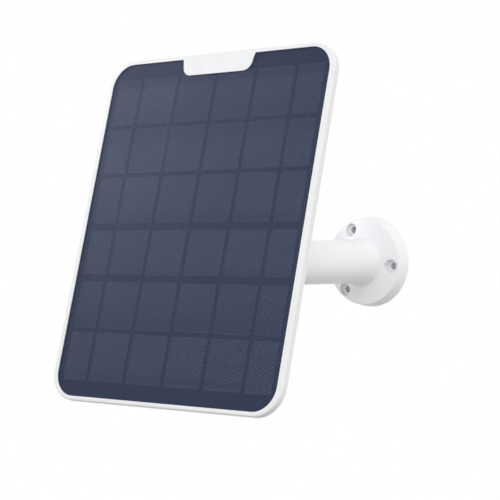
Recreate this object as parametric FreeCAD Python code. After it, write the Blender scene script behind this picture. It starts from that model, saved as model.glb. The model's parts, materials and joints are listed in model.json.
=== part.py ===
"""Flat solar charging panel on a ball-jointed wall arm, in millimetres.

Row frame: the origin is the centre of the flange's back face, on the arm's axis. +Y goes
into the wall, +Z is up, and the panel stands off the wall towards -Y.
Panel frame: x runs across the panel, y is the depth behind the front sheet's face and z
runs up the panel. place_panel turns and moves it into the row frame at the rest tilt.
"""
import FreeCAD
import Part
import math
import os

Vec = FreeCAD.Vector
X_AXIS = Vec(1, 0, 0)
Y_AXIS = Vec(0, 1, 0)
Z_AXIS = Vec(0, 0, 1)
ORIGIN = Vec(0, 0, 0)

# Wall arm: distances are measured out from the wall, along -Y.
flange_r = 29.35
flange_rim_r = 27.8
flange_rim_out = 8.8
rim_round = 0.9
boss_root_r = 15.7
boss_root_out = 12.0
tube_root_r = 13.85
tube_tip_r = 13.4
tube_start_out = 25.0
tube_end_out = 111.0
thread_r = 12.0
thread_end_out = 128.0
tube_bore_r = 8.8
tube_floor_out = 14.0
cup_pocket_r = 10.30
cup_pocket_out = 113.0
core_depth = 3.6
core_inner_r = 12.0
core_outer_r = 26.4
core_rib_width = 1.8
core_rib_count = 6

# Wall screw holes.
screw_count = 3
screw_circle_r = 22.5
screw_first_angle = -7.0
screw_hole_r = 2.3
screw_recess_r = 4.35
screw_recess_floor = 6.9
screw_boss_r = 5.4

# Ball joint: the ball's centre is on the arm's axis.
ball_out = 133.0
ball_r = 10.0
seat_gap = 0.05
cup_r = 10.25
cup_length = 13.2
cup_rim_behind_ball = 3.2
cup_vent_r = 4.5
preload_ring_r = 1.3
slip_ring_r = 11.9
slip_ring_front = 4.0
slip_ring_back = -0.2
slip_seat_angle = 15.0
collar_r = 16.6
collar_start_out = 111.6
collar_front = 7.6
collar_bore_r = 12.05
collar_lip_r = 9.9
collar_flare_angle = 42.0
collar_flutes = 22
collar_flute_r = 1.3
neck_r = 4.0

# Stud: depths are in the panel frame, behind the front sheet.
hex_front_depth = 28.0
hex_back_depth = 31.0
hex_across = 13.0
stud_thread_r = 3.175
stud_tip_depth = 12.3
washer_back_depth = 19.2
clamp_washer_t = 0.9
wheel_front_depth = 20.15
wheel_back_depth = 26.6
wheel_r = 13.0
wheel_hub_r = 8.0
wheel_lobes = 12
wheel_scallop_r = 2.2
washer_r = 11.5
washer_gap = 0.03
thread_gap = 0.06

# Panel outline and position.
panel_w = 170.4
panel_h = 207.7
panel_corner_r = 17.5
rest_tilt = 15.13
centre_out = 178.9
centre_up = 21.7
window_w = 163.4
window_h = 202.7
window_corner_r = 14.5
bezel_front = -0.5
bezel_back = 3.3
bezel_wall = 1.2
bezel_round = 1.2
tab_top_w = 54.0
tab_depth = 10.3
tab_taper = 12.0
tab_corner_r = 6.0
tab_root_r = 1.2

# Laminate, front to back.
sheet_w = 167.2
sheet_h = 204.5
sheet_corner_r = 15.9
sheet_t = 0.5
film_t = 0.3
cell_t = 0.2
ribbon_t = 0.15
board_t = 1.2
film_depth = sheet_t
cell_depth = film_depth + film_t
ribbon_depth = cell_depth + cell_t
rear_film_depth = ribbon_depth + ribbon_t
board_depth = rear_film_depth + film_t
laminate_back = board_depth + board_t

# Cells: heights from the top row down, with the gap that follows each row.
column_count = 6
column_pitch = 29.05
column_gap = 2.7
cell_side_margin = 4.3
cell_top_margin = 9.5
row_heights = [28.8, 27.7, 28.1, 26.5, 27.7, 28.5]
row_gaps = [2.5, 2.5, 4.4, 4.5, 2.5]
ribbon_w = 1.4
ribbon_inset = 7.0

# Back cover.
cover_edge_back = 3.9
cover_back = 9.5
cover_recede = 6.8
cover_wall = 1.8
cover_seam_gap = 0.1
hump_w = 78.0
hump_h = 88.0
hump_z = -29.0
hump_back = 16.5
hump_draft = 3.0
hump_corner_r = 12.0
mount_boss_r = 18.0
mount_boss_back = 18.0
gasket_w = 132.0
gasket_h = 171.0
gasket_band = 4.0
gasket_t = 1.0
rib_t = 1.2
cover_screw_sites = [(71.5, 52.0), (71.5, -52.0), (40.0, 91.0), (40.0, -91.0)]
lug_r = 3.2
lug_back = 6.9
cover_screw_r = 1.25
cover_screw_head_r = 2.4
cover_screw_head_t = 1.3
cover_screw_recess_r = 2.8
cover_screw_tip = 3.6

# Threaded mount inside the cover.
plate_w = 44.0
plate_h = 32.0
plate_t = 1.5
insert_r = 4.8
insert_head_r = 7.5
insert_head_t = 2.2
insert_back = 17.9
plate_screw_x = 14.0
plate_screw_z = 9.0

# Charge board.
board_w = 62.0
board_h = 32.0
board_z = -51.0
pcb_front = 7.2
pcb_t = 1.6
post_r = 2.6
post_x = 27.0
post_z = 12.0
small_screw_r = 1.1
small_head_r = 2.2
small_head_t = 1.2

# Cable outlet.
outlet_z = -58.0
gland_thread_r = 4.5
gland_hex_across = 13.0
gland_hex_t = 3.0
gland_collet_r = 4.0
gland_collet_t = 5.0
gland_nut_t = 7.5
gland_cable_r = 1.75
gland_locknut_t = 2.4

# Pressure vent in the cover's raised centre.
vent_x = -27.0
vent_z = -2.0
vent_hole_r = 1.0
vent_plug_r = 3.0
vent_plug_t = 0.9

cover_floor = cover_back - cover_wall
hump_floor = hump_back - cover_wall
plate_front = hump_floor - plate_t
ball_centre = Vec(0, -ball_out, 0)

# The ball's place in the panel frame: its depth behind the front sheet, and the height of the
# stud's axis along the panel. Both follow from the panel's place on the arm.
tilt = math.radians(rest_tilt)
ball_to_centre = centre_out - ball_out
ball_depth = ball_to_centre * math.cos(tilt) + centre_up * math.sin(tilt)
stud_z = ball_to_centre * math.sin(tilt) - centre_up * math.cos(tilt)


def rod(radius, start, end, x=0.0, z=0.0):
    """A cylinder along +Y from depth start to depth end."""
    return Part.makeCylinder(radius, end - start, Vec(x, start, z), Y_AXIS)


def tube(outer, inner, start, end, x=0.0, z=0.0):
    return rod(outer, start, end, x, z).cut(rod(inner, start - 1, end + 1, x, z))


def arm_rod(radius, start_out, end_out, x=0.0, z=0.0):
    """A cylinder along the arm between two distances from the wall."""
    return rod(radius, -end_out, -start_out, x, z)


def block(width, height, start, end, x=0.0, z=0.0):
    """A box centred on (x, z) that runs from depth start to depth end."""
    corner = Vec(x - width / 2, start, z - height / 2)
    return Part.makeBox(width, end - start, height, corner)


def outline(width, height, radius, y, z=0.0):
    """A rounded rectangle, as a wire in the plane of depth y."""
    hw = width / 2
    hh = height / 2
    edges = []
    for sx, sz, start in ((1, 1, 0), (-1, 1, 90), (-1, -1, 180), (1, -1, 270)):
        cx = sx * (hw - radius)
        cz = sz * (hh - radius)
        points = []
        for angle in (start, start + 45, start + 90):
            a = math.radians(angle)
            points.append(Vec(cx + radius * math.cos(a), y, z + cz + radius * math.sin(a)))
        edges.append(Part.Arc(*points).toShape())
    sides = []
    for i, arc in enumerate(edges):
        following = edges[(i + 1) % 4]
        sides.append(arc)
        sides.append(Part.makeLine(arc.Vertexes[-1].Point, following.Vertexes[0].Point))
    return Part.Wire(sides)


def slab(width, height, radius, start, end, z=0.0):
    face = Part.Face(outline(width, height, radius, start, z))
    return face.extrude(Vec(0, end - start, 0))


def ring_slab(width, height, radius, band, start, end, z=0.0):
    inner = slab(width - 2 * band, height - 2 * band, radius - band, start - 1, end + 1, z)
    return slab(width, height, radius, start, end, z).cut(inner)


def frustum(width, height, radius, start, end, inset, z=0.0):
    """A rounded slab whose outline shrinks by inset on each side between the two depths."""
    near = outline(width, height, radius, start, z)
    far = outline(width - 2 * inset, height - 2 * inset, radius - inset, end, z)
    return Part.makeLoft([near, far], True, True)


def hexagon(across, start, end, x=0.0, z=0.0):
    points = []
    for i in range(7):
        a = math.radians(60 * i)
        r = across / math.sqrt(3)
        points.append(Vec(x + r * math.cos(a), start, z + r * math.sin(a)))
    return Part.Face(Part.makePolygon(points)).extrude(Vec(0, end - start, 0))


def edges_where(shape, test):
    """The edges whose middle point passes the test."""
    found = []
    for edge in shape.Edges:
        middle = edge.valueAt((edge.FirstParameter + edge.LastParameter) / 2)
        if test(middle):
            found.append(edge)
    return found


def fuse_all(shapes):
    return shapes[0].multiFuse(shapes[1:]).removeSplitter()


def turned(profile):
    """Turn a closed (radius, distance from the wall) profile of edges about the arm's axis."""
    return Part.Face(Part.Wire(profile)).revolve(ORIGIN, Y_AXIS, 360)


def place_panel(shape):
    """Move a shape from the panel frame to the row frame at the rest tilt."""
    turn = FreeCAD.Rotation(X_AXIS, -rest_tilt)
    placement = FreeCAD.Placement(Vec(0, -centre_out, centre_up), turn)
    moved = shape.copy()
    moved.Placement = placement.multiply(shape.Placement)
    return moved


def mirrored_sites(sites):
    for x, z in sites:
        yield x, z
        yield -x, z


def screw_sites():
    for i in range(screw_count):
        a = math.radians(screw_first_angle + 360 * i / screw_count)
        yield screw_circle_r * math.cos(a), screw_circle_r * math.sin(a)


def arm_outer():
    """The flange, its flared root and the tube's outside, turned in one profile."""
    rise = boss_root_r - tube_root_r
    flare_r = ((tube_start_out - boss_root_out) ** 2 + rise ** 2) / (2 * rise)
    mid_out = (boss_root_out + tube_start_out) / 2
    mid_r = tube_root_r + flare_r - math.sqrt(flare_r ** 2 - (tube_start_out - mid_out) ** 2)

    def at(r, out):
        return Vec(r, -out, 0)

    corners = [at(0, 0), at(flange_r, 0), at(flange_rim_r, flange_rim_out), at(boss_root_r, boss_root_out)]
    profile = [Part.makeLine(a, b) for a, b in zip(corners, corners[1:])]
    flare = Part.Arc(at(boss_root_r, boss_root_out), at(mid_r, mid_out), at(tube_root_r, tube_start_out))
    profile.append(flare.toShape())
    corners = [at(tube_root_r, tube_start_out), at(tube_tip_r, tube_end_out), at(thread_r, tube_end_out),
               at(thread_r, thread_end_out), at(0, thread_end_out), at(0, 0)]
    profile += [Part.makeLine(a, b) for a, b in zip(corners, corners[1:])]
    solid = turned(profile)
    rim = edges_where(solid, lambda p: abs(p.y + flange_rim_out) < 0.01 and p.Length > boss_root_r + 5)
    return solid.makeFillet(rim_round, rim)


def make_wall_arm():
    arm = arm_outer()
    arm = arm.cut(arm_rod(tube_bore_r, tube_floor_out, thread_end_out + 1))
    arm = arm.cut(arm_rod(cup_pocket_r, cup_pocket_out, thread_end_out + 1))
    core = arm_rod(core_outer_r, -1, core_depth).cut(arm_rod(core_inner_r, -2, core_depth + 1))
    for x, z in screw_sites():
        core = core.cut(arm_rod(screw_boss_r, -2, core_depth + 1, x, z))
    for i in range(core_rib_count):
        rib = block(core_rib_width, core_outer_r, -core_depth - 1, 2, 0, core_outer_r / 2)
        rib.rotate(ORIGIN, Y_AXIS, 360 * i / core_rib_count - screw_first_angle)
        core = core.cut(rib)
    arm = arm.cut(core)
    for x, z in screw_sites():
        arm = arm.cut(arm_rod(screw_hole_r, -1, flange_r, x, z))
        arm = arm.cut(arm_rod(screw_recess_r, screw_recess_floor, flange_r, x, z))
    return arm


def ball_space(gap):
    return Part.makeSphere(ball_r + gap, ball_centre)


def make_ball_cup():
    rim = ball_out - cup_rim_behind_ball
    cup = arm_rod(cup_r, rim - cup_length, rim).cut(ball_space(seat_gap))
    return cup.cut(arm_rod(cup_vent_r, rim - cup_length - 1, rim))


def make_preload_ring():
    rim = ball_out - cup_rim_behind_ball
    room = rim - cup_length - cup_pocket_out
    middle = cup_pocket_out + room / 2
    ring = Part.makeTorus(cup_pocket_r - preload_ring_r - 0.1, preload_ring_r, Vec(0, -middle, 0), Y_AXIS)
    return ring.common(arm_rod(cup_pocket_r, cup_pocket_out + 0.05, cup_pocket_out + room - 0.05))


def make_slip_ring():
    """A plain ring whose bore narrows to a conical seat that meets the ball on one circle."""
    angle = math.radians(slip_seat_angle)
    bore_r = ball_r + seat_gap
    seat_start = bore_r * (1 - math.cos(angle)) / math.sin(angle)
    mouth_r = bore_r - (slip_ring_front - seat_start) * math.tan(angle)
    back = ball_out + slip_ring_back
    front = ball_out + slip_ring_front
    bend = ball_out + seat_start

    def at(r, out):
        return Vec(r, -out, 0)

    corners = [at(bore_r, back), at(slip_ring_r, back), at(slip_ring_r, front), at(mouth_r, front),
               at(bore_r, bend), at(bore_r, back)]
    return turned([Part.makeLine(a, b) for a, b in zip(corners, corners[1:])])


def make_clamp_collar():
    """A threaded ring nut whose lip traps the slip ring against the ball."""
    front = ball_out + collar_front
    collar = arm_rod(collar_r, collar_start_out, front)
    ends = edges_where(collar, lambda p: abs(p.Length) > 1 and math.hypot(p.x, p.z) > collar_r - 0.1)
    ends = [e for e in ends if len(e.Vertexes) == 1]
    collar = collar.makeFillet(1.2, ends)
    lip_back = ball_out + slip_ring_front + 0.02
    collar = collar.cut(arm_rod(collar_bore_r, collar_start_out - 1, lip_back))
    flare_len = front - lip_back + 1
    flare_end_r = collar_lip_r + flare_len * math.tan(math.radians(collar_flare_angle))
    flare = Part.makeCone(collar_lip_r, flare_end_r, flare_len, Vec(0, -lip_back, 0), Vec(0, -1, 0))
    collar = collar.cut(flare)
    flutes = []
    for i in range(collar_flutes):
        a = math.radians(360 * i / collar_flutes)
        reach = collar_r + collar_flute_r * 0.45
        flutes.append(arm_rod(collar_flute_r, collar_start_out + 2.6, front - 2.6,
                              reach * math.cos(a), reach * math.sin(a)))
    return collar.cut(Part.makeCompound(flutes))


def make_ball_stud():
    ball = Part.makeSphere(ball_r, Vec(0, ball_depth, stud_z))
    neck = rod(neck_r, hex_back_depth - 0.5, ball_depth, 0, stud_z)
    nut = hexagon(hex_across, hex_front_depth, hex_back_depth, 0, stud_z)
    nut = nut.common(Part.makeCone(hex_across / 2 + 4, hex_across / 2 + 0.2, 3.4,
                                   Vec(0, hex_front_depth, stud_z), Y_AXIS))
    screw = rod(stud_thread_r, stud_tip_depth, hex_front_depth + 0.5, 0, stud_z)
    tip = Part.makeCone(stud_thread_r - 0.8, stud_thread_r + 2.2, 3.0, Vec(0, stud_tip_depth, stud_z), Y_AXIS)
    screw = screw.common(tip.fuse(rod(stud_thread_r, stud_tip_depth + 0.8, hex_front_depth + 1, 0, stud_z)))
    return fuse_all([ball, neck, nut, screw])


def make_lock_wheel():
    rim = rod(wheel_r, wheel_front_depth, wheel_back_depth, 0, stud_z)
    rim = rim.makeFillet(1.0, [e for e in rim.Edges if len(e.Vertexes) == 1])
    scallops = []
    for i in range(wheel_lobes):
        a = math.radians(360 * i / wheel_lobes)
        reach = wheel_r + wheel_scallop_r * 0.4
        scallops.append(rod(wheel_scallop_r, wheel_front_depth - 1, wheel_back_depth + 1,
                            reach * math.cos(a), stud_z + reach * math.sin(a)))
    rim = rim.cut(Part.makeCompound(scallops))
    dish = rod(wheel_r - 2.6, wheel_back_depth - 1.6, wheel_back_depth + 1, 0, stud_z)
    dish = dish.cut(rod(wheel_hub_r, wheel_back_depth - 3, wheel_back_depth + 2, 0, stud_z))
    return rim.cut(dish).cut(rod(stud_thread_r + thread_gap, 0, ball_depth, 0, stud_z))


def make_stud_washer():
    return tube(washer_r, stud_thread_r + 0.3, mount_boss_back, washer_back_depth, 0, stud_z)


def make_clamp_washer():
    start = washer_back_depth + washer_gap
    return tube(washer_r - 0.8, stud_thread_r + thread_gap, start, start + clamp_washer_t - 2 * washer_gap, 0, stud_z)


def make_threaded_insert():
    head = hexagon(2 * insert_head_r * 0.92, plate_front - insert_head_t, plate_front, 0, stud_z)
    body = rod(insert_r, plate_front - 0.5, insert_back, 0, stud_z)
    bore = rod(stud_thread_r + thread_gap, plate_front - insert_head_t + 0.8, insert_back + 1, 0, stud_z)
    return fuse_all([head, body]).cut(bore)


def plate_screw_sites():
    for x, z in mirrored_sites([(plate_screw_x, plate_screw_z), (plate_screw_x, -plate_screw_z)]):
        yield x, z + stud_z


def make_mount_plate():
    plate = slab(plate_w, plate_h, 3.0, plate_front, hump_floor, stud_z)
    plate = plate.cut(rod(insert_r + 0.02, 0, hump_back, 0, stud_z))
    for x, z in plate_screw_sites():
        plate = plate.cut(rod(small_screw_r + 0.1, 0, hump_back, x, z))
    return plate


def screw(shank_r, head_r, head_t, head_side, tip, x, z):
    """A pan-head screw: its head starts at depth head_side and its shank runs to depth tip."""
    way = 1 if tip > head_side else -1
    seat = head_side + way * head_t
    head = rod(head_r, min(head_side, seat), max(head_side, seat), x, z)
    crown = [e for e in head.Edges if len(e.Vertexes) == 1 and abs(e.Vertexes[0].Point.y - head_side) < 0.01]
    head = head.makeFillet(head_t * 0.5, crown)
    shank = rod(shank_r, min(seat, tip), max(seat, tip), x, z)
    slots = []
    for width, height in ((head_r * 0.3, head_r * 1.2), (head_r * 1.2, head_r * 0.3)):
        depth = head_t * 0.6
        slots.append(block(width, height, min(head_side, head_side + way * depth) - 0.01,
                           max(head_side, head_side + way * depth) + 0.01, x, z))
    return fuse_all([head, shank]).cut(Part.makeCompound(slots))


def make_plate_screws():
    tip = mount_boss_back - 0.8
    start = plate_front - small_head_t
    return Part.makeCompound([screw(small_screw_r, small_head_r, small_head_t, start, tip, x, z)
                              for x, z in plate_screw_sites()])


def window_cutter():
    """The opening in the bezel, with the top tab's outline taken out of it."""
    front = bezel_front - 1
    back = 0.5
    cutter = slab(window_w, window_h, window_corner_r, front, back)
    top = window_h / 2
    spread = math.tan(math.radians(tab_taper)) * tab_depth
    half = tab_top_w / 2
    points = [Vec(-half - 1, 0, top + 4.7), Vec(half + 1, 0, top + 4.7), Vec(half, 0, top),
              Vec(half - spread, 0, top - tab_depth), Vec(-half + spread, 0, top - tab_depth), Vec(-half, 0, top)]
    tab = Part.Face(Part.makePolygon(points + points[:1])).extrude(Vec(0, 6, 0))
    tab.translate(Vec(0, -3, 0))
    cutter = cutter.cut(tab).Solids[0]

    def along_depth_at(z):
        return edges_where(cutter, lambda p: abs(p.z - z) < 0.05 and abs(p.x) < half + 0.1
                           and abs(p.y - (front + back) / 2) < 0.1)

    cutter = cutter.makeFillet(tab_corner_r, along_depth_at(top - tab_depth))
    return cutter.makeFillet(tab_root_r, along_depth_at(top))


def make_front_bezel():
    body = slab(panel_w, panel_h, panel_corner_r, bezel_front, bezel_back)
    front = edges_where(body, lambda p: abs(p.y - bezel_front) < 0.01)
    body = body.makeFillet(bezel_round, front)
    pocket = slab(panel_w - 2 * bezel_wall, panel_h - 2 * bezel_wall, panel_corner_r - bezel_wall,
                  0, bezel_back + 1)
    body = body.cut(pocket).cut(window_cutter())
    pieces = [body]
    for x, z in cover_screw_all():
        pieces.append(rod(lug_r, laminate_back + 0.05, lug_back, x, z))
        if abs(x) > abs(z) * 0.8:
            reach = panel_w / 2 - 0.6 - abs(x)
            middle = math.copysign(abs(x) + reach / 2, x)
            pieces.append(block(reach, 2 * lug_r, laminate_back + 0.05, bezel_back, middle, z))
        else:
            reach = panel_h / 2 - 0.6 - abs(z)
            middle = math.copysign(abs(z) + reach / 2, z)
            pieces.append(block(2 * lug_r, reach, laminate_back + 0.05, bezel_back, x, middle))
    bezel = fuse_all(pieces)
    for x, z in cover_screw_all():
        bezel = bezel.cut(rod(cover_screw_r, cover_screw_tip - 0.2, lug_back + 1, x, z))
    return bezel


def cover_screw_all():
    return list(mirrored_sites(cover_screw_sites))


def sheet(width_less, start, thickness):
    return slab(sheet_w - width_less, sheet_h - width_less, sheet_corner_r - width_less / 2,
                start, start + thickness)


def make_front_sheet():
    return sheet(0.0, 0.0, sheet_t)


def make_front_film():
    return sheet(0.6, film_depth, film_t)


def make_rear_film():
    return sheet(0.6, rear_film_depth, film_t)


def make_backing_board():
    board = sheet(0.2, board_depth, board_t)
    for x in (-4.0, 4.0):
        board = board.cut(rod(1.3, board_depth - 1, laminate_back + 1, x, board_z + 22))
    return board


def column_spans():
    """Left and right edge of each column of cells."""
    outer = window_w / 2 - cell_side_margin
    middle = (column_count - 1) / 2
    inner = [(i - middle + 0.5) * column_pitch for i in range(column_count - 1)]
    left = [-outer] + [x + column_gap / 2 for x in inner]
    right = [x - column_gap / 2 for x in inner] + [outer]
    return list(zip(left, right))


def row_spans():
    """Bottom and top edge of each row of cells, from the top row down."""
    spans = []
    top = window_h / 2 - cell_top_margin
    for i, height in enumerate(row_heights):
        spans.append((top - height, top))
        if i < len(row_gaps):
            top = top - height - row_gaps[i]
    return spans


def cell(left, right, low, high):
    """One wafer, with small clipped corners."""
    clip = 0.8
    points = [(left + clip, low), (right - clip, low), (right, low + clip), (right, high - clip),
              (right - clip, high), (left + clip, high), (left, high - clip), (left, low + clip)]
    points = [Vec(x, cell_depth, z) for x, z in points]
    return Part.Face(Part.makePolygon(points + points[:1])).extrude(Vec(0, cell_t, 0))


def make_cell_row(index):
    low, high = row_spans()[index]
    return Part.makeCompound([cell(left, right, low, high) for left, right in column_spans()])


def make_cell_ribbons():
    """Flat wires soldered behind the cells, two down each column."""
    low = row_spans()[-1][0] + 2
    high = row_spans()[0][1] - 2
    ribbons = []
    for left, right in column_spans():
        for x in (left + ribbon_inset * 0.6, right - ribbon_inset * 0.6):
            ribbons.append(block(ribbon_w, high - low, ribbon_depth, ribbon_depth + ribbon_t, x, (low + high) / 2))
    return Part.makeCompound(ribbons)


def make_laminate_gasket():
    return ring_slab(gasket_w, gasket_h, 9.0, gasket_band, laminate_back, laminate_back + gasket_t)


def cover_shell():
    """The dished cover with its raised centre, hollowed to an even wall."""
    edge = slab(panel_w - 0.2, panel_h - 0.2, panel_corner_r - 0.1, bezel_back + cover_seam_gap, cover_edge_back)
    dish = frustum(panel_w - 0.2, panel_h - 0.2, panel_corner_r - 0.1, cover_edge_back, cover_back, cover_recede)
    hump = frustum(hump_w, hump_h, hump_corner_r, cover_back - 1, hump_back, hump_draft, hump_z)
    outer = fuse_all([edge, dish, hump])
    dish_edges = edges_where(outer, lambda p: abs(p.y - cover_back) < 0.01
                             and (abs(p.x) > hump_w / 2 + 5 or abs(p.z - hump_z) > hump_h / 2 + 5))
    outer = outer.makeFillet(3.0, dish_edges)
    outer = outer.makeFillet(2.0, edges_where(outer, lambda p: abs(p.y - hump_back) < 0.01))
    root = edges_where(outer, lambda p: abs(p.y - cover_back) < 0.01 and abs(p.x) < hump_w / 2 + 2
                       and abs(p.z - hump_z) < hump_h / 2 + 2)
    outer = outer.makeFillet(2.0, root)
    outer = outer.fuse(rod(mount_boss_r, hump_back - 1, mount_boss_back, 0, stud_z)).removeSplitter()
    slope = cover_recede / (cover_back - cover_edge_back)
    inset = cover_wall * math.hypot(1, slope) - slope * (cover_edge_back - bezel_back)
    w = panel_w - 0.2 - 2 * inset
    h = panel_h - 0.2 - 2 * inset
    drop = (cover_floor - bezel_back) * slope
    inner = frustum(w, h, panel_corner_r - inset, bezel_back, cover_floor, drop)
    room = frustum(hump_w - 2 * cover_wall, hump_h - 2 * cover_wall, hump_corner_r - cover_wall,
                   cover_floor - 0.5, hump_floor, hump_draft * 0.9, hump_z)
    return outer.cut(fuse_all([inner, room]))


def cover_ribs():
    """The gasket's seat and the ribs that back the laminate, standing on the cover's floor."""
    seat = laminate_back + gasket_t
    ribs = [ring_slab(gasket_w - 1.2, gasket_h - 1.2, 8.4, 1.6, seat, cover_floor + 0.3)]
    low_half = hump_w / 2 + 6
    for x in (-low_half - 6, low_half + 6):
        ribs.append(block(rib_t, gasket_h - 4, seat + 0.4, cover_floor + 0.3, x, 0))
    for z in (30.0, 57.0):
        ribs.append(block(gasket_w - 4, rib_t, seat + 0.4, cover_floor + 0.3, 0, z))
    return ribs


def make_back_cover():
    cover = cover_shell()
    solids = [cover] + cover_ribs()
    for x, z in cover_screw_all():
        solids.append(rod(lug_r + 0.6, lug_back + 0.1, cover_floor + 0.3, x, z))
    for x, z in post_sites():
        solids.append(rod(post_r, pcb_front + pcb_t, hump_floor + 0.3, x, z))
    cover = fuse_all(solids)
    holes = [rod(insert_r, plate_front, mount_boss_back + 1, 0, stud_z),
             rod(gland_thread_r, hump_floor - 1, hump_back + 1, 0, outlet_z),
             rod(vent_hole_r, hump_floor - 1, hump_back + 1, vent_x, vent_z),
             rod(vent_plug_r, hump_back - vent_plug_t, hump_back + 1, vent_x, vent_z)]
    for x, z in cover_screw_all():
        holes.append(rod(cover_screw_r + 0.15, lug_back - 1, cover_back + 1, x, z))
        holes.append(rod(cover_screw_recess_r, cover_back - cover_screw_head_t - 0.3, cover_back + 1, x, z))
    for x, z in plate_screw_sites():
        holes.append(rod(small_screw_r, hump_floor - 0.5, mount_boss_back - 0.7, x, z))
    for x, z in post_sites():
        holes.append(rod(small_screw_r, pcb_front, pcb_front + pcb_t + 4.2, x, z))
    return cover.cut(Part.makeCompound(holes))


def make_vent_plug():
    plug = rod(vent_plug_r, hump_back - vent_plug_t, hump_back + 0.3, vent_x, vent_z)
    return plug.makeFillet(0.25, [e for e in plug.Edges if len(e.Vertexes) == 1 and e.Vertexes[0].Point.y > hump_back])


def make_cover_screws():
    head = cover_back - 0.3
    return Part.makeCompound([screw(cover_screw_r, cover_screw_head_r, cover_screw_head_t, head,
                                    cover_screw_tip, x, z) for x, z in cover_screw_all()])


def post_sites():
    for x, z in mirrored_sites([(post_x, post_z), (post_x, -post_z)]):
        yield x, z + board_z


def make_charge_board():
    board = slab(board_w, board_h, 2.0, pcb_front, pcb_front + pcb_t, board_z)
    for x, z in post_sites():
        board = board.cut(rod(small_screw_r + 0.1, 0, hump_back, x, z))
    return board


def make_board_screws():
    start = pcb_front - small_head_t
    tip = pcb_front + pcb_t + 4.0
    return Part.makeCompound([screw(small_screw_r, small_head_r, small_head_t, start, tip, x, z)
                              for x, z in post_sites()])


def on_board(x, z):
    return x, board_z + z


def pcb_back():
    return pcb_front + pcb_t


def make_power_inductor():
    x, z = on_board(-15.0, 3.0)
    body = block(9.0, 9.0, pcb_back(), pcb_back() + 4.2, x, z)
    body = body.makeFillet(1.2, edges_where(body, lambda p: pcb_back() < p.y < pcb_back() + 4.2))
    return body


def make_board_capacitors():
    cans = []
    for offset in (-4.2, 4.2):
        x, z = on_board(16.0, offset + 4.0)
        base = block(6.6, 6.6, pcb_back(), pcb_back() + 0.8, x, z)
        can = rod(3.1, pcb_back() + 0.7, pcb_back() + 5.0, x, z)
        can = can.makeFillet(0.5, [e for e in can.Edges if len(e.Vertexes) == 1])
        cans.append(fuse_all([base, can]))
    return Part.makeCompound(cans)


def make_blocking_diode():
    x, z = on_board(14.0, -9.0)
    body = block(5.2, 3.8, pcb_back() + 0.2, pcb_back() + 2.4, x, z)
    tabs = [block(1.4, 2.0, pcb_back(), pcb_back() + 0.6, x + side * 3.0, z) for side in (-1, 1)]
    return fuse_all([body] + tabs)


def make_control_chip():
    x, z = on_board(-15.0, -9.0)
    body = block(5.0, 4.0, pcb_back() + 0.1, pcb_back() + 1.6, x, z)
    pins = []
    for side in (-1, 1):
        for i in range(4):
            pins.append(block(0.5, 1.0, pcb_back(), pcb_back() + 0.4, x + (i - 1.5) * 1.27, z + side * 2.3))
    return fuse_all([body] + pins)


def make_output_terminal():
    x, z = on_board(0.0, 8.0)
    body = block(8.0, 6.0, pcb_back(), pcb_back() + 4.0, x, z)
    for side in (-1, 1):
        body = body.cut(block(2.2, 4.0, pcb_back() + 1.0, pcb_back() + 3.0, x + side * 1.9, z - 2.0))
    return body


def make_panel_leads():
    """Two short insulated wires from the backing board to the charge board."""
    leads = []
    for x in (-4.0, 4.0):
        top = board_z + 22
        low = board_z + 12.5
        mid = (laminate_back + pcb_front) / 2 + 0.2
        path = [Vec(x, board_depth, top), Vec(x, mid - 1.5, top), Vec(x, mid, top - 1.5),
                Vec(x, mid, low + 1.5), Vec(x, mid + 1.5, low), Vec(x, pcb_front, low)]
        s = math.sqrt(0.5) * 1.5
        first = Part.Arc(path[1], Vec(x, mid - 1.5 + s, top - 1.5 + s), path[2])
        second = Part.Arc(path[3], Vec(x, mid + 1.5 - s, low + 1.5 - s), path[4])
        wire = Part.Wire([Part.makeLine(path[0], path[1]), first.toShape(), Part.makeLine(path[2], path[3]),
                          second.toShape(), Part.makeLine(path[4], path[5])])
        section = Part.Wire([Part.makeCircle(0.8, path[0], Y_AXIS)])
        leads.append(wire.makePipeShell([section], True, False))
    return Part.makeCompound(leads)


def make_cable_gland():
    """The outlet fitting: a hexagon seated on the cover, a thread through it and a collet."""
    flange = hexagon(gland_hex_across, hump_back, hump_back + gland_hex_t, 0, outlet_z)
    inside = rod(gland_thread_r - 0.02, hump_floor - gland_locknut_t - 0.8, hump_back + 0.5, 0, outlet_z)
    collet = rod(gland_collet_r, hump_back + gland_hex_t - 0.5, hump_back + gland_hex_t + gland_collet_t, 0, outlet_z)
    gland = fuse_all([flange, inside, collet])
    gland = gland.cut(rod(gland_cable_r + 0.5, 0, 60, 0, outlet_z))
    return gland.cut(rod(gland_collet_r - 0.9, hump_back + gland_hex_t, 60, 0, outlet_z))


def make_gland_seal():
    start = hump_back + gland_hex_t
    return tube(gland_collet_r - 0.92, gland_cable_r, start, start + gland_collet_t + 0.5, 0, outlet_z)


def make_gland_nut():
    start = hump_back + gland_hex_t + 0.1
    nut = hexagon(gland_hex_across * 0.95, start, start + 3.6, 0, outlet_z)
    dome = Part.makeCone(gland_hex_across * 0.46, gland_hex_across * 0.3, gland_nut_t - 3.6,
                         Vec(0, start + 3.6, outlet_z), Y_AXIS)
    nut = fuse_all([nut, dome]).cut(rod(gland_collet_r + 0.02, 0, start + gland_collet_t + 0.6, 0, outlet_z))
    return nut.cut(rod(gland_cable_r + 0.6, 0, 60, 0, outlet_z))


def make_gland_locknut():
    start = hump_floor - gland_locknut_t
    nut = hexagon(gland_hex_across, start, hump_floor, 0, outlet_z)
    return nut.cut(rod(gland_thread_r, 0, 60, 0, outlet_z))


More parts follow.
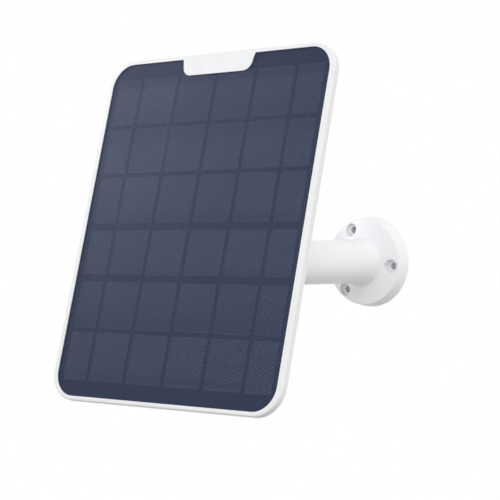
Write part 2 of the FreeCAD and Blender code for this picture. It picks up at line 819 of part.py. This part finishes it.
ARM_PARTS = {
    "wall_arm": make_wall_arm,
    "ball_cup": make_ball_cup,
    "preload_ring": make_preload_ring,
    "slip_ring": make_slip_ring,
    "clamp_collar": make_clamp_collar,
}
PANEL_PARTS = {
    "ball_stud": make_ball_stud,
    "lock_wheel": make_lock_wheel,
    "stud_washer": make_stud_washer,
    "clamp_washer": make_clamp_washer,
    "threaded_insert": make_threaded_insert,
    "mount_plate": make_mount_plate,
    "plate_screws": make_plate_screws,
    "front_bezel": make_front_bezel,
    "front_sheet": make_front_sheet,
    "front_film": make_front_film,
    "cell_ribbons": make_cell_ribbons,
    "rear_film": make_rear_film,
    "backing_board": make_backing_board,
    "laminate_gasket": make_laminate_gasket,
    "back_cover": make_back_cover,
    "vent_plug": make_vent_plug,
    "cover_screws": make_cover_screws,
    "charge_board": make_charge_board,
    "board_screws": make_board_screws,
    "power_inductor": make_power_inductor,
    "board_capacitors": make_board_capacitors,
    "blocking_diode": make_blocking_diode,
    "control_chip": make_control_chip,
    "output_terminal": make_output_terminal,
    "panel_leads": make_panel_leads,
    "cable_gland": make_cable_gland,
    "gland_seal": make_gland_seal,
    "gland_nut": make_gland_nut,
    "gland_locknut": make_gland_locknut,
}


def main():
    os.makedirs("parts", exist_ok=True)
    shapes = {name: make() for name, make in ARM_PARTS.items()}
    shapes.update({name: place_panel(make()) for name, make in PANEL_PARTS.items()})
    for index in range(len(row_heights)):
        shapes["cell_row_%d" % (index + 1)] = place_panel(make_cell_row(index))
    for name, shape in shapes.items():
        if not shape.isValid():
            raise ValueError(name + " is not a valid shape")
        shape.exportStep("parts/" + name + ".step")
        print(name, len(shape.Solids), round(shape.Volume, 1))


main()
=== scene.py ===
"""Looks of the solar charging panel and its wall arm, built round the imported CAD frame."""

import json
import math

import bpy
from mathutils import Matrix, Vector


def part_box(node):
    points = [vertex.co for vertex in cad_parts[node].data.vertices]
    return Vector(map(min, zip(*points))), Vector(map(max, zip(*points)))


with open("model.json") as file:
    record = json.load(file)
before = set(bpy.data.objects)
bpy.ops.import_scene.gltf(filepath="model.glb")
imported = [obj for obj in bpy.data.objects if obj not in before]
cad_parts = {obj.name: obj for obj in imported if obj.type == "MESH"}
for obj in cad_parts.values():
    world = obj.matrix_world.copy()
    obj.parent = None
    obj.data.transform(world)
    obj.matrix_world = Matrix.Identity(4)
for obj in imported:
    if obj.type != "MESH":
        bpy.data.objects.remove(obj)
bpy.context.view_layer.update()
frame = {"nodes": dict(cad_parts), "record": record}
nodes = frame["nodes"]
record = frame["record"]
joints = {joint["name"]: joint for joint in record["behaviour"]["joints"]}

MM = 0.001

# The panel's axes at rest: out of its face, across it, and up along it.
FACE = Vector(joints["panel_spin"]["axis"]).normalized()
ACROSS = Vector((1, 0, 0))
UP = FACE.cross(ACROSS).normalized()
TILT = math.atan2(UP.y, UP.z)


def panel_centre():
    """The middle of the front sheet's face."""
    low, high = (Vector(corner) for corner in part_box("front_sheet"))
    return (low + high) / 2


# ---------------------------------------------------------------- node helpers


# Most values of a noise lie between these two.
NOISE_LOW = 0.3
NOISE_HIGH = 0.7


class Shade:
    """One node material: short calls for the nodes that the finishes below share."""

    def __init__(self, name):
        self.material = bpy.data.materials.new(name)
        self.material.use_nodes = True
        self.tree = self.material.node_tree
        self.shader = self.tree.nodes["Principled BSDF"]
        self.coords = self.tree.nodes.new("ShaderNodeTexCoord").outputs["Object"]

    def set(self, **values):
        """Set uniform values on the shader's own sockets."""
        for key, value in values.items():
            self.shader.inputs[key.replace("_", " ")].default_value = value

    def link(self, output, key):
        self.tree.links.new(output, self.shader.inputs[key])

    def node(self, kind, inputs=(), **settings):
        made = self.tree.nodes.new("ShaderNode" + kind)
        for key, value in settings.items():
            setattr(made, key, value)
        for key, value in dict(inputs).items():
            if isinstance(value, bpy.types.NodeSocket):
                self.tree.links.new(value, made.inputs[key])
            else:
                made.inputs[key].default_value = value
        return made

    def noise(self, scale, detail=2.0, rough=0.5, vector=None):
        made = self.node("TexNoise", {"Vector": vector or self.coords, "Scale": scale,
                                      "Detail": detail, "Roughness": rough})
        return made.outputs["Fac"]

    def spread(self, value, low, high, start=0.0, end=1.0):
        """Map value from start..end to low..high."""
        made = self.node("MapRange", {"Value": value, "From Min": start, "From Max": end,
                                      "To Min": low, "To Max": high})
        return made.outputs["Result"]

    def math(self, operation, a, b=0.0):
        return self.node("Math", {0: a, 1: b}, operation=operation).outputs["Value"]

    def mix(self, factor, a, b):
        made = self.node("Mix", data_type="RGBA")
        for key, value in ((0, factor), (6, a), (7, b)):
            if isinstance(value, bpy.types.NodeSocket):
                self.tree.links.new(value, made.inputs[key])
            else:
                colour = isinstance(value, tuple)
                made.inputs[key].default_value = (*value, 1.0) if colour else value
        return made.outputs[2]

    def bump(self, height, distance, strength=1.0):
        made = self.node("Bump", {"Height": height, "Distance": distance, "Strength": strength})
        self.link(made.outputs["Normal"], "Normal")

    def in_panel(self):
        """Object coordinates turned so that X is across the panel and Z is up along it."""
        made = self.node("Mapping", {"Vector": self.coords, "Rotation": (TILT, 0, 0)},
                         vector_type="POINT")
        return made.outputs["Vector"]


# Shade painted into recesses: how far it looks for its own walls, the painted shade's colour,
# and how open a place is where the painted shade is full and where it ends.
RECESS_REACH = 6 * MM
PAINTED_RECESS_SHADE = (0.16, 0.165, 0.17)
RECESS_FULL = 0.10
RECESS_ENDS = 0.42


def moulded(name, colour, roughness, grain=900.0, depth=0.02, wear=0.018, painted_recess_shade=0.0):
    """Moulded plastic: slight colour drift, fine grain, rubbed patches and painted shade in
    recesses.
    """
    s = Shade(name)
    s.set(IOR=1.47, Subsurface_Weight=0.06, Subsurface_Scale=0.002)
    drift = s.noise(34.0, 3.0)
    darker = tuple(c * (1 - wear) for c in colour)
    base = s.mix(s.spread(drift, 0.0, 1.0, 0.35, 0.65), darker, colour)
    # Painted shade: where ambient occlusion finds the part closed in, its colour turns darker.
    if painted_recess_shade:
        ao = s.node("AmbientOcclusion", {"Distance": RECESS_REACH}, samples=8, only_local=True)
        painted_shade_mask = s.spread(ao.outputs["AO"], painted_recess_shade, 0.0, RECESS_FULL, RECESS_ENDS)
        base = s.mix(painted_shade_mask, base, PAINTED_RECESS_SHADE)
    s.link(base, "Base Color")
    rub = s.noise(120.0, 4.0, 0.6)
    s.link(s.spread(rub, roughness * 0.82, roughness * 1.15, NOISE_LOW, NOISE_HIGH), "Roughness")
    s.bump(s.noise(grain, 3.0, 0.6), depth * MM)
    return s.material


def rubber(name, colour):
    """Matt rubber with a little dust on it."""
    s = Shade(name)
    s.set(IOR=1.45)
    dust = s.noise(260.0, 4.0, 0.65)
    dusty = tuple(c + 0.06 for c in colour)
    s.link(s.mix(s.spread(dust, 0.0, 0.35, 0.4, 0.8), colour, dusty), "Base Color")
    s.link(s.spread(dust, 0.62, 0.82), "Roughness")
    s.bump(s.noise(1800.0, 2.0), 0.02 * MM)
    return s.material


def metal(name, colour, roughness, stretch=(1, 1, 1)):
    """Plated or turned metal with fine drawn scratches along one axis."""
    s = Shade(name)
    s.set(Metallic=1.0)
    long = s.node("Mapping", {"Vector": s.coords, "Scale": stretch}).outputs["Vector"]
    scratch = s.noise(900.0, 4.0, 0.7, long)
    stain = s.noise(90.0, 3.0)
    stained = tuple(c * 0.82 for c in colour)
    s.link(s.mix(s.spread(stain, 0.0, 0.5, 0.4, 0.7), colour, stained), "Base Color")
    s.link(s.spread(scratch, roughness * 0.7, roughness * 1.4, NOISE_LOW, NOISE_HIGH), "Roughness")
    s.bump(scratch, 0.006 * MM)
    return s.material


# ---------------------------------------------------------------- the panel's face

EMBOSS_PITCH = 1.98 * MM
# Each set of waves: its direction in degrees and its share.
EMBOSS_WAVES = ((60.0, 1.0), (0.0, 0.22), (-60.0, 0.30))
EMBOSS_DEPTH = 0.05 * MM
# How much of what lies behind the sheet hides: at the dimples' low and high parts.
SHEET_VEIL_LOW = 0.195
SHEET_VEIL_HIGH = 0.305
FILM_VEIL = 0.06
FINGER_PITCH = 1.6 * MM
# The sine of the fingers' wave above which a finger is printed.
FINGER_EDGE = 0.97


def stripes(s, place, along):
    """A sine wave, -1 to 1, that runs in the direction of along."""
    phase = s.node("VectorMath", {0: place, 1: along}, operation="DOT_PRODUCT")
    return s.math("SINE", phase.outputs["Value"])


def emboss(s):
    """The sheet's pressed dimples: three sets of waves 60 degrees apart, one of them deeper."""
    place = s.in_panel()
    total = None
    for angle, weight in EMBOSS_WAVES:
        a = math.radians(angle)
        step = 2 * math.pi / EMBOSS_PITCH
        along = (math.cos(a) * step, 0.0, -math.sin(a) * step)
        wave = s.math("MULTIPLY", stripes(s, place, along), weight)
        total = wave if total is None else s.math("ADD", total, wave)
    full = sum(weight for angle, weight in EMBOSS_WAVES)
    return s.spread(total, 0.0, 1.0, -full, full)


def textured_sheet():
    """Clear polymer sheet with pressed dimples, so the cells show through it a little veiled."""
    s = Shade("textured_sheet")
    s.set(IOR=1.42)
    dimple = emboss(s)
    # The sheet's colour runs from dark to light blue with the dimples' height: painted light and
    # shade on the dimples.
    s.link(s.mix(dimple, (0.020, 0.036, 0.115), (0.050, 0.070, 0.165)), "Base Color")
    s.link(s.spread(dimple, SHEET_VEIL_LOW, SHEET_VEIL_HIGH), "Alpha")
    smear = s.noise(22.0, 3.0)
    s.link(s.spread(smear, 0.46, 0.54, NOISE_LOW, NOISE_HIGH), "Roughness")
    s.bump(dimple, EMBOSS_DEPTH, 0.6)
    return s.material


def clear_film():
    """Clear film, front and rear of the cells."""
    s = Shade("clear_film")
    s.set(IOR=1.45, Alpha=FILM_VEIL)
    s.link(s.mix(s.noise(40.0), (0.10, 0.12, 0.18), (0.14, 0.16, 0.22)), "Base Color")
    s.link(s.spread(s.noise(300.0), 0.3, 0.5), "Roughness")
    return s.material


def solar_cell():
    """Dark blue silicon with fine printed fingers, and stripes of painted light and shade that
    follow the sheet's dimples.
    """
    s = Shade("solar_cell")
    s.set(IOR=1.5, Specular_IOR_Level=0.05)
    lines = stripes(s, s.in_panel(), (0.0, 0.0, 2 * math.pi / FINGER_PITCH))
    finger = s.spread(lines, 1.0, 0.8, FINGER_EDGE, 1.0)
    drift = s.noise(60.0, 3.0)
    # Shaded and lit copies of the silicon, mixed by the dimples: painted light and shade.
    dull = s.mix(drift, (0.037, 0.045, 0.060), (0.047, 0.055, 0.072))
    lit = s.mix(drift, (0.086, 0.100, 0.130), (0.106, 0.120, 0.152))
    silicon = s.mix(emboss(s), dull, lit)
    s.link(s.mix(finger, (0.15, 0.16, 0.19), silicon), "Base Color")
    s.link(s.spread(s.noise(200.0), 0.35, 0.5), "Roughness")
    s.bump(finger, 0.004 * MM)
    return s.material


def laminate_board():
    """Dark glass-fibre board behind the cells."""
    s = Shade("laminate_board")
    s.set(IOR=1.5)
    s.link(s.mix(s.noise(90.0, 3.0), (0.011, 0.016, 0.034), (0.015, 0.021, 0.042)), "Base Color")
    s.link(s.spread(s.noise(400.0), 0.4, 0.55), "Roughness")
    s.bump(s.noise(700.0, 3.0), 0.02 * MM)
    return s.material


def coated_ribbon():
    """Copper ribbon under a dull dark coat, so it hardly shows between the cells."""
    s = Shade("coated_copper")
    s.set(IOR=1.4, Specular_IOR_Level=0.1)
    s.link(s.mix(s.noise(90.0, 3.0), (0.016, 0.020, 0.034), (0.022, 0.026, 0.042)), "Base Color")
    s.link(s.spread(s.noise(500.0), 0.6, 0.75), "Roughness")
    return s.material


# ---------------------------------------------------------------- inside the cover


def circuit_board():
    """Green solder mask over copper tracks."""
    s = Shade("circuit_board")
    s.set(IOR=1.52)
    cells = s.node("TexVoronoi", {"Vector": s.coords, "Scale": 420.0}, distance="MANHATTAN",
                   feature="DISTANCE_TO_EDGE").outputs["Distance"]
    track = s.spread(cells, 1.0, 0.0, 0.04, 0.10)
    s.link(s.mix(track, (0.010, 0.085, 0.034), (0.025, 0.16, 0.060)), "Base Color")
    s.link(s.spread(s.noise(300.0), 0.28, 0.42), "Roughness")
    s.bump(track, 0.03 * MM)
    return s.material


def finishes():
    """One material for each slot of the record."""
    return {
        # The arm gets painted shade in its holes and recesses.
        "arm_white": moulded("arm_white", (0.868, 0.868, 0.884), 0.36, painted_recess_shade=0.8),
        "bezel_white": moulded("bezel_white", (0.785, 0.785, 0.783), 0.50),
        "cover_white": moulded("cover_white", (0.85, 0.85, 0.862), 0.48, grain=1500.0, depth=0.05),
        "grip_white": moulded("grip_white", (0.85, 0.85, 0.864), 0.40),
        "bearing_acetal": moulded("bearing_acetal", (0.70, 0.70, 0.66), 0.35),
        "black_rubber": rubber("black_rubber", (0.022, 0.022, 0.024)),
        "plated_steel": metal("plated_steel", (0.62, 0.63, 0.64), 0.28, (1, 6, 1)),
        "brass": metal("brass", (0.72, 0.53, 0.24), 0.25, (1, 5, 1)),
        "textured_sheet": textured_sheet(),
        "clear_film": clear_film(),
        "solar_cell": solar_cell(),
        "coated_copper": coated_ribbon(),
        "laminate_board": laminate_board(),
        "circuit_board": circuit_board(),
        "black_epoxy": moulded("black_epoxy", (0.025, 0.025, 0.026), 0.5, wear=0.2),
        "capacitor_can": metal("capacitor_can", (0.72, 0.72, 0.74), 0.3, (1, 8, 1)),
        "lead_insulation": rubber("lead_insulation", (0.09, 0.010, 0.010)),
        "vent_grey": moulded("vent_grey", (0.30, 0.31, 0.32), 0.8, grain=2600.0, depth=0.08,
                             wear=0.15),
    }


def dress_nodes():
    """Give every CAD node the finish that its slot names."""
    made = finishes()
    slots = {part["node"]: part["material_slot"] for part in record["subparts"]}
    for name, node in nodes.items():
        node.data.materials.clear()
        node.data.materials.append(made[slots[name]])


# ---------------------------------------------------------------- stage, camera and light


# Each lamp: name, place, size (m), power (W), colour, what it is aimed at, and whether it lights
# matt surfaces too or only shines in glossy ones.
WHITE = (1.0, 1.0, 1.0)
PANEL_FACE = panel_centre()
LAMPS = (
    ("front", (1.3, -1.5, 1.5), 1.1, 14.5, WHITE, (0, -0.08, 0), True),
    ("veil", (-0.59, -0.47, 0.38), 0.30, 2.5, (0.76, 0.81, 1.0), PANEL_FACE, False),
    ("shine", (0.22, 0.38, 1.2), 0.4, 4.0, WHITE, (0, -0.02, 0), False),
)


def add_light(name, place, size, power, colour, aim, lights_matt):
    """A round area lamp turned to its aim."""
    data = bpy.data.lights.new(name, "AREA")
    data.shape = "DISK"
    data.size = size
    data.energy = power
    data.color = colour
    lamp = bpy.data.objects.new(name, data)
    bpy.context.scene.collection.objects.link(lamp)
    lamp.location = place
    lamp.rotation_euler = (Vector(aim) - Vector(place)).to_track_quat("-Z", "Y").to_euler()
    lamp.visible_diffuse = lights_matt


# The camera's turn about Z and its dip below level, in degrees, its place in metres and its lens
# in millimetres.
CAMERA_AZIMUTH = 39.403
CAMERA_DROP = 0.203
CAMERA_PLACE = Vector((0.5662, -0.8139, 0.0111))
CAMERA_LENS = 108.8


def add_camera():
    data = bpy.data.cameras.new("camera")
    data.lens = CAMERA_LENS
    data.sensor_width = 36.0
    data.clip_start = 0.01
    data.clip_end = 50.0
    camera = bpy.data.objects.new("camera", data)
    bpy.context.scene.collection.objects.link(camera)
    camera.location = CAMERA_PLACE
    camera.rotation_euler = (math.radians(90 - CAMERA_DROP), 0, math.radians(CAMERA_AZIMUTH))
    bpy.context.scene.camera = camera


# Sines of the elevation where the studio turns white, where its floor is darkest and where its
# ceiling starts to fade, and the strengths of that floor and of the ceiling overhead.
WORLD_WHITE_ABOVE = -0.26
WORLD_DARK_BELOW = -0.75
CEILING_STARTS = 0.4
WORLD_FLOOR = 0.38
WORLD_CEILING = 0.72


def add_world():
    """A white studio with a darker floor and ceiling, so undersides fall into shade."""
    world = bpy.data.worlds.new("studio")
    world.use_nodes = True
    tree = world.node_tree
    back = tree.nodes["Background"]
    place = tree.nodes.new("ShaderNodeTexCoord")
    height = tree.nodes.new("ShaderNodeSeparateXYZ")
    tree.links.new(place.outputs["Generated"], height.inputs["Vector"])
    both = tree.nodes.new("ShaderNodeMath")
    both.operation = "MULTIPLY"
    fades = ((WORLD_DARK_BELOW, WORLD_WHITE_ABOVE, WORLD_FLOOR, 1.0),
             (CEILING_STARTS, 1.0, 1.0, WORLD_CEILING))
    for side, limits in enumerate(fades):
        fade = tree.nodes.new("ShaderNodeMapRange")
        fade.interpolation_type = "SMOOTHSTEP"
        tree.links.new(height.outputs["Z"], fade.inputs["Value"])
        for key, value in zip(("From Min", "From Max", "To Min", "To Max"), limits):
            fade.inputs[key].default_value = value
        tree.links.new(fade.outputs["Result"], both.inputs[side])
    tree.links.new(both.outputs["Value"], back.inputs["Strength"])
    back.inputs["Color"].default_value = (1.0, 1.0, 1.0, 1.0)
    bpy.context.scene.world = world


dress_nodes()
add_camera()
add_world()
for lamp_settings in LAMPS:
    add_light(*lamp_settings)
bpy.context.scene.view_settings.view_transform = "Standard"
